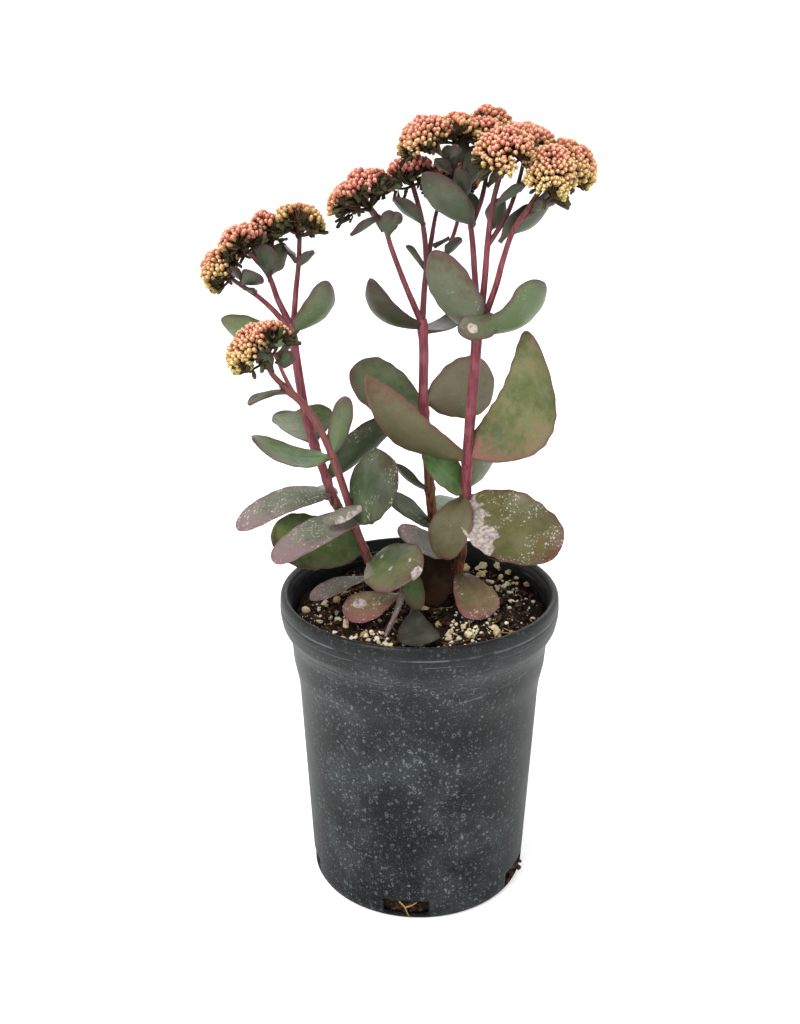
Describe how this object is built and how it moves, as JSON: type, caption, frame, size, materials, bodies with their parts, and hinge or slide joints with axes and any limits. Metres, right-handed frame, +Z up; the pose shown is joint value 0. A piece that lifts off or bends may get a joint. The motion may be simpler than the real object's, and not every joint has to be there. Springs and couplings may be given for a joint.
{
  "type": "potted sedum plant",
  "caption": "Stonecrop in flower in a round nursery pot: forked stems with fleshy leaves and flat domes of small round buds over bare potting soil.",
  "frame": {"origin": "centre of the pot's flat underside, on the surface that it stands on", "axes": "+Z up the pot's axis, -Y to the plant's front as pictured, +X to its right"},
  "size_m": [0.2154, 0.165, 0.4571],
  "materials": {
    "pot": "satin",
    "soil": "matte",
    "stem": "satin",
    "leaf": "satin",
    "old_leaf": "satin",
    "buds": "matte"
  },
  "bodies": {
    "root": {"pot": "pot", "potting_soil": "soil", "stem_front_left": "stem", "stem_back_left": "stem", "stem_middle": "stem", "stem_right": "stem", "shoot_low_front": "stem", "leaf_right_top_front": "leaf", "leaf_right_top_right": "leaf", "leaf_middle_top_left": "leaf", "leaf_middle_top_right": "leaf", "leaf_back_left_top_right": "leaf", "leaf_back_left_top_left": "leaf", "leaf_front_left_narrow": "leaf", "leaf_right_big": "leaf", "leaf_right_long": "leaf", "leaf_right_low_back": "leaf", "leaf_right_low_side": "leaf", "leaf_right_spotted": "old_leaf", "leaf_right_drooping": "leaf", "leaf_middle_round": "leaf", "leaf_middle_grey": "leaf", "leaf_middle_edge": "leaf", "leaf_middle_dark": "leaf", "leaf_front_left_upper": "leaf", "leaf_front_left_upright": "leaf", "leaf_back_left_round": "leaf", "leaf_back_left_dark": "leaf", "leaf_back_left_low": "old_leaf", "leaf_front_left_spotted": "leaf", "leaf_front_left_long": "old_leaf", "leaf_front_left_green": "leaf", "leaf_front_round": "leaf", "leaf_right_purple": "old_leaf", "leaf_soil_dark": "old_leaf", "leaf_soil_fan": "old_leaf", "leaf_soil_pink": "old_leaf", "leaf_soil_yellow": "leaf", "leaf_soil_thin": "old_leaf", "leaf_soil_front": "old_leaf", "leaf_behind_right": "leaf", "leaf_behind_middle": "leaf", "leaf_behind_left": "leaf", "leaf_soil_left": "old_leaf", "head_left_low": "buds", "head_left_middle": "buds", "head_left_inner": "buds", "head_left_top": "buds", "head_front_low": "buds", "head_middle_left": "buds", "head_middle_top": "buds", "head_middle_back": "buds", "head_right_left": "buds", "head_right_back": "buds", "head_right_front": "buds", "head_right_middle": "buds", "head_right_low": "buds", "head_right_end": "buds"}
  },
  "joints": []
}
